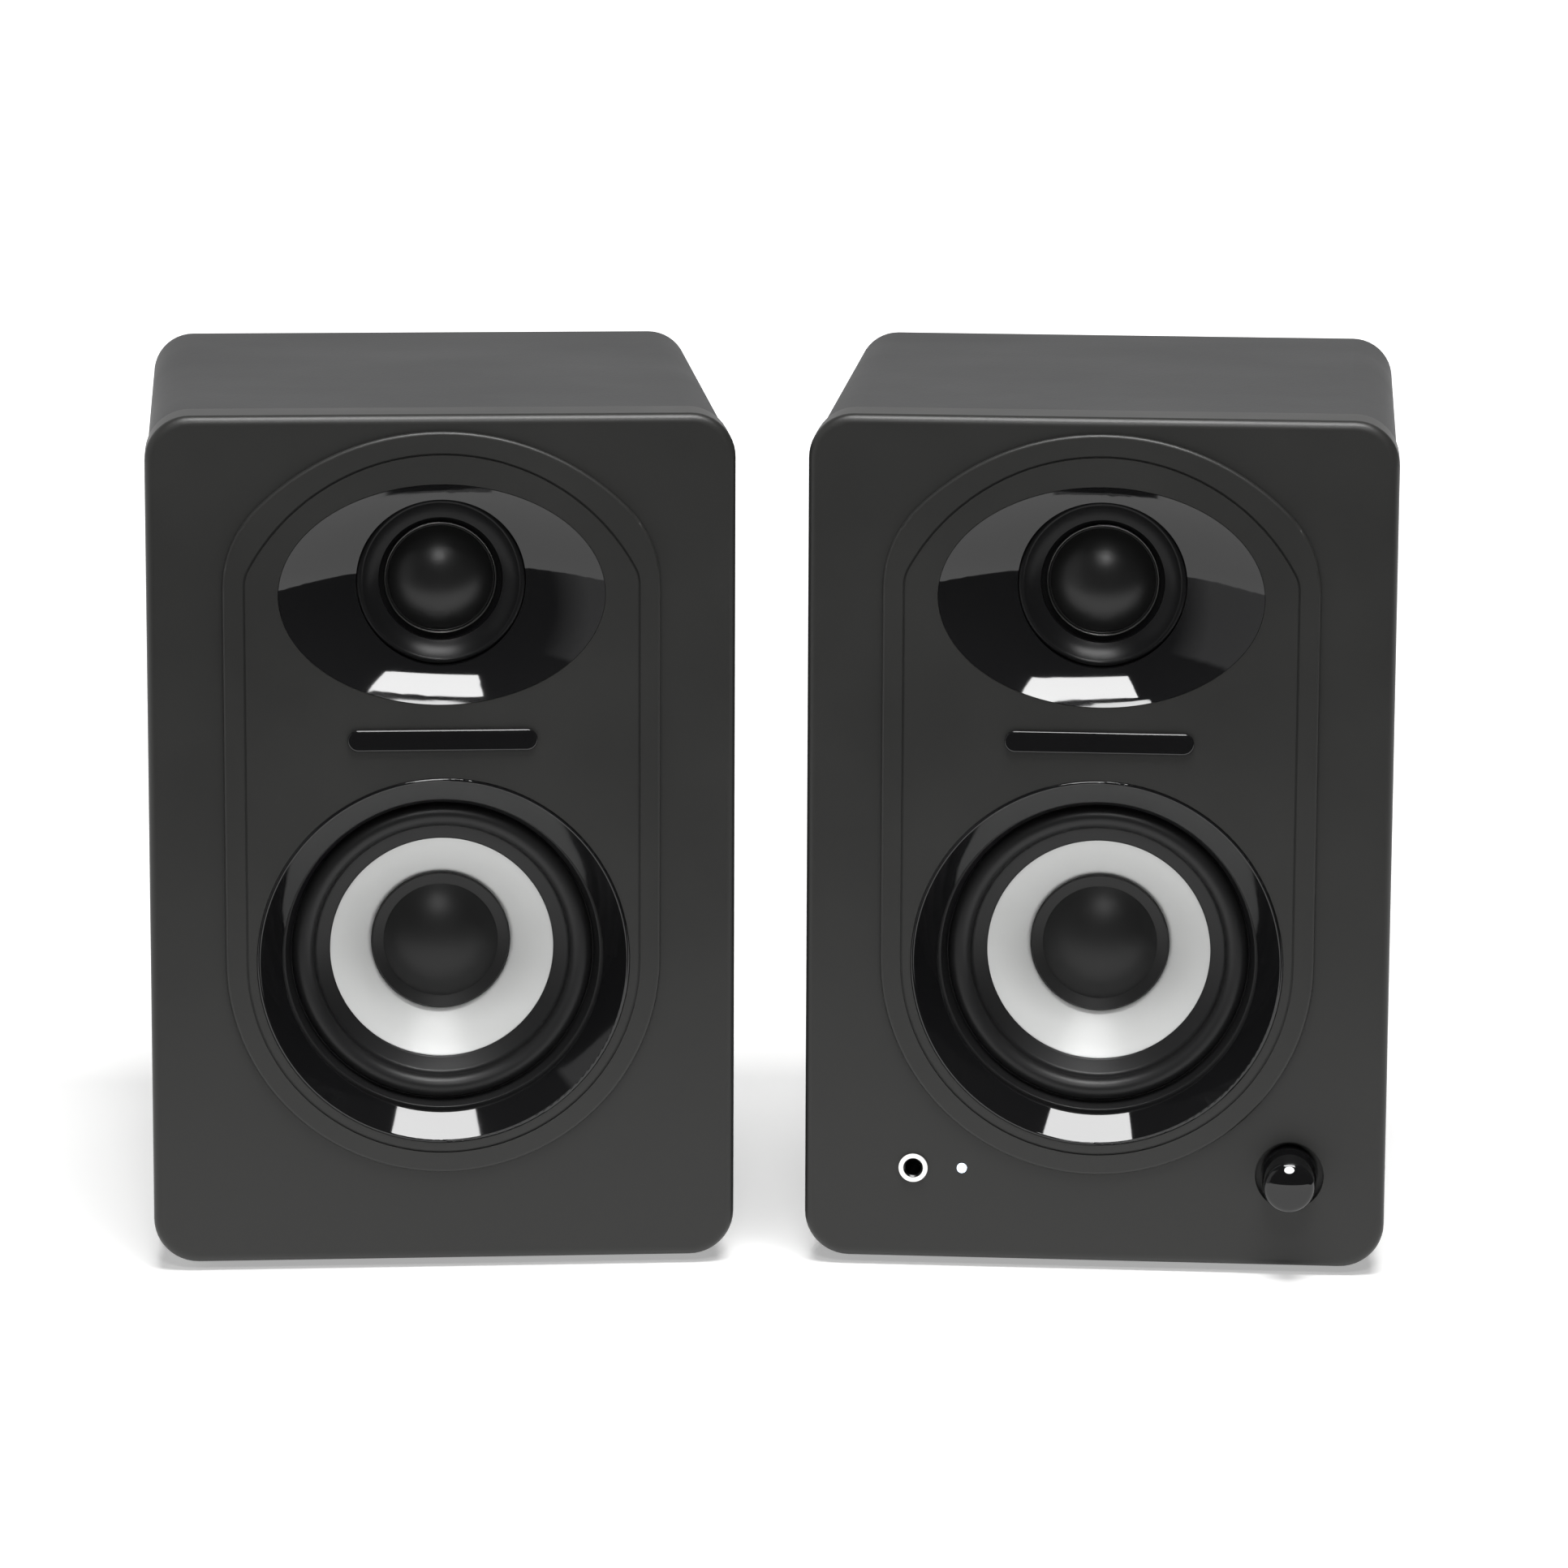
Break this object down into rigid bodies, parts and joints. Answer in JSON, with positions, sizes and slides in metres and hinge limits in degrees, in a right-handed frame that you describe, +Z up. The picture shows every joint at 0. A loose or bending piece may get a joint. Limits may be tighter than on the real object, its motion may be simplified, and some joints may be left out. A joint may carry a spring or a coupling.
{
  "type": "desktop speakers",
  "caption": "Pair of small powered monitor loudspeakers with rear bass ports, front volume knob, headphone socket and lamp, toed in on thin feet.",
  "frame": {"origin": "bottom centre of the pair's bounding box, on the desk", "axes": "+X to the viewer's right across the pair, +Y from the fronts to the backs, +Z up"},
  "size_m": [0.2992, 0.187, 0.193],
  "materials": {
    "cabinet_vinyl": "satin vinyl over board",
    "front_plastic": "satin",
    "gloss_black": "gloss",
    "satin_black": "satin",
    "foot_rubber": "matte",
    "surround_rubber": "satin",
    "basket_paint": "satin",
    "cone_paper": "coated",
    "cap_paper": "satin",
    "copper": "enamelled wire",
    "spider_cloth": "matte",
    "plated_steel": "zinc plated",
    "ferrite": "matte",
    "silk": "coated",
    "screw_steel": "blackened",
    "capacitor_film": "satin",
    "lever_black": "gloss",
    "lever_red": "gloss",
    "panel_paint": "powder coat",
    "board_green": "solder mask",
    "transformer_iron": "varnished",
    "nickel": "bright",
    "shaft_aluminium": "turned",
    "lamp": "diffuse"
  },
  "bodies": {
    "right_cabinet": {"right_cabinet_shell": "cabinet_vinyl", "right_front_baffle": "front_plastic", "right_badge": "gloss_black", "right_feet": "foot_rubber", "right_woofer_trim_ring": "gloss_black", "right_woofer_basket": "basket_paint", "right_woofer_surround": "surround_rubber", "right_woofer_spider": "spider_cloth", "right_woofer_motor_plates": "plated_steel", "right_woofer_magnet": "ferrite", "right_tweeter_waveguide": "gloss_black", "right_tweeter_faceplate": "satin_black", "right_tweeter_motor": "plated_steel", "right_port_tube": "satin_black", "right_screws": "screw_steel", "amp_panel": "panel_paint", "amp_board": "board_green", "transformer": "transformer_iron", "mains_inlet": "satin_black", "power_switch_housing": "satin_black", "rca_jacks": "nickel", "aux_jack": "satin_black", "terminal_block": "satin_black", "volume_pot": "plated_steel", "headphone_jack": "nickel", "power_led": "lamp", "control_board": "board_green"},
    "left_cabinet": {"left_cabinet_shell": "cabinet_vinyl", "left_front_baffle": "front_plastic", "left_badge": "gloss_black", "left_feet": "foot_rubber", "left_woofer_trim_ring": "gloss_black", "left_woofer_basket": "basket_paint", "left_woofer_surround": "surround_rubber", "left_woofer_spider": "spider_cloth", "left_woofer_motor_plates": "plated_steel", "left_woofer_magnet": "ferrite", "left_tweeter_waveguide": "gloss_black", "left_tweeter_faceplate": "satin_black", "left_tweeter_motor": "plated_steel", "left_port_tube": "satin_black", "left_screws": "screw_steel", "left_terminal_cup": "satin_black", "left_crossover_capacitor": "capacitor_film"},
    "left_woofer_moving": {"left_woofer_cone": "cone_paper", "left_woofer_dust_cap": "cap_paper", "left_woofer_voice_coil": "copper"},
    "left_tweeter_moving": {"left_tweeter_dome": "silk"},
    "left_clip_black": {"left_clip_lever_black": "lever_black"},
    "left_clip_red": {"left_clip_lever_red": "lever_red"},
    "right_woofer_moving": {"right_woofer_cone": "cone_paper", "right_woofer_dust_cap": "cap_paper", "right_woofer_voice_coil": "copper"},
    "right_tweeter_moving": {"right_tweeter_dome": "silk"},
    "right_clip_black": {"right_clip_lever_black": "lever_black"},
    "right_clip_red": {"right_clip_lever_red": "lever_red"},
    "volume_control": {"volume_knob": "gloss_black", "volume_shaft": "shaft_aluminium"},
    "power_rocker": {"power_rocker": "gloss_black"},
    "bass_slider": {"bass_slider": "lever_black"}
  },
  "joints": [
    {"name": "left_speaker_apart", "type": "slide", "parent": "right_cabinet", "child": "left_cabinet", "axis": [-1, 0, 0], "range_m": [0, 0.15]},
    {"name": "right_woofer_travel", "type": "slide", "parent": "right_cabinet", "child": "right_woofer_moving", "axis": [-0.0802, -0.9968, 0], "range_m": [-0.0025, 0.0025], "stiffness_N_per_m": 1250, "deforming": ["right_woofer_surround", "right_woofer_spider"]},
    {"name": "right_tweeter_travel", "type": "slide", "parent": "right_cabinet", "child": "right_tweeter_moving", "axis": [-0.0802, -0.9968, 0], "range_m": [-0.0003, 0.0003], "stiffness_N_per_m": 2000},
    {"name": "right_clip_black_push", "type": "hinge", "parent": "right_cabinet", "child": "right_clip_black", "pos_m": [0.05539, 0.08189, 0.043], "axis": [-0.9968, 0.0802, 0], "range_deg": [0, 18], "stiffness_Nm_per_rad": 0.2, "springref_deg": -5.73},
    {"name": "right_clip_red_push", "type": "hinge", "parent": "right_cabinet", "child": "right_clip_red", "pos_m": [0.07134, 0.08061, 0.043], "axis": [-0.9968, 0.0802, 0], "range_deg": [0, 18], "stiffness_Nm_per_rad": 0.2, "springref_deg": -5.73},
    {"name": "left_woofer_travel", "type": "slide", "parent": "left_cabinet", "child": "left_woofer_moving", "axis": [0.0802, -0.9968, 0], "range_m": [-0.0025, 0.0025], "stiffness_N_per_m": 1250, "deforming": ["left_woofer_surround", "left_woofer_spider"]},
    {"name": "left_tweeter_travel", "type": "slide", "parent": "left_cabinet", "child": "left_tweeter_moving", "axis": [0.0802, -0.9968, 0], "range_m": [-0.0003, 0.0003], "stiffness_N_per_m": 2000},
    {"name": "left_clip_black_push", "type": "hinge", "parent": "left_cabinet", "child": "left_clip_black", "pos_m": [-0.09327, 0.07885, 0.053], "axis": [-0.9968, -0.0802, 0], "range_deg": [0, 18], "stiffness_Nm_per_rad": 0.2, "springref_deg": -5.73},
    {"name": "left_clip_red_push", "type": "hinge", "parent": "left_cabinet", "child": "left_clip_red", "pos_m": [-0.07732, 0.08013, 0.053], "axis": [-0.9968, -0.0802, 0], "range_deg": [0, 18], "stiffness_Nm_per_rad": 0.2, "springref_deg": -5.73},
    {"name": "volume_turn", "type": "hinge", "parent": "right_cabinet", "child": "volume_control", "pos_m": [0.11522, -0.09347, 0.023], "axis": [0.0802, 0.9968, 0], "range_deg": [-150, 150]},
    {"name": "power_rock", "type": "hinge", "parent": "right_cabinet", "child": "power_rocker", "pos_m": [0.11336, 0.07924, 0.058], "axis": [0.9968, -0.0802, 0], "range_deg": [0, 16]},
    {"name": "bass_switch", "type": "slide", "parent": "right_cabinet", "child": "bass_slider", "axis": [0.9968, -0.0802, 0], "range_m": [0, 0.003]}
  ]
}
